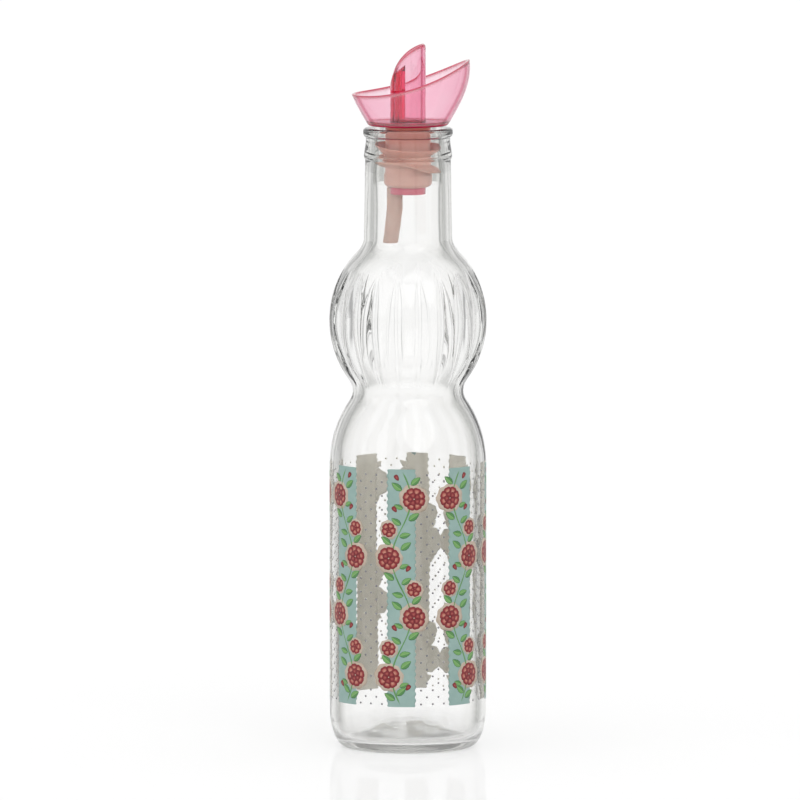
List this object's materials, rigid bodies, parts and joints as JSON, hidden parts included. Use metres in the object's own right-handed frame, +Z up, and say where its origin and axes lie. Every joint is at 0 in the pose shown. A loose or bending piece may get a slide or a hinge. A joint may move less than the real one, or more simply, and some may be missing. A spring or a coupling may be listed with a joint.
{
  "type": "oil bottle",
  "caption": "Clear glass oil bottle with a straight round body, narrow waist and fluted bulb, closed by a push-in stopper with a drip cup and slanted pouring spout.",
  "frame": {"origin": "centre of the foot ring, on the surface that the bottle stands on", "axes": "+Z up along the bottle's axis, +X towards the raised lip of the drip cup, so the picture looks along +Y"},
  "size_m": [0.0542, 0.0542, 0.2433],
  "materials": {
    "clear_glass": "polished, clear",
    "clear_pink_plastic": "polished, see-through pink",
    "soft_beige_plastic": "satin, slightly waxy",
    "printed_ink": "thin printed band, satin"
  },
  "bodies": {
    "bottle_body": {"bottle_glass": "clear_glass"},
    "stopper_body": {"stopper_sleeve": "soft_beige_plastic"},
    "pourer_body": {"pourer": "clear_pink_plastic", "breather_tube": "soft_beige_plastic"}
  },
  "joints": [
    {"name": "stopper_pull", "type": "slide", "parent": "bottle_body", "child": "stopper_body", "axis": [0, 0, 1], "range_m": [0, 0.06]},
    {"name": "spout_turn", "type": "hinge", "parent": "stopper_body", "child": "pourer_body", "pos_m": [0, 0, 0.2153], "axis": [0, 0, 1], "continuous": true}
  ]
}
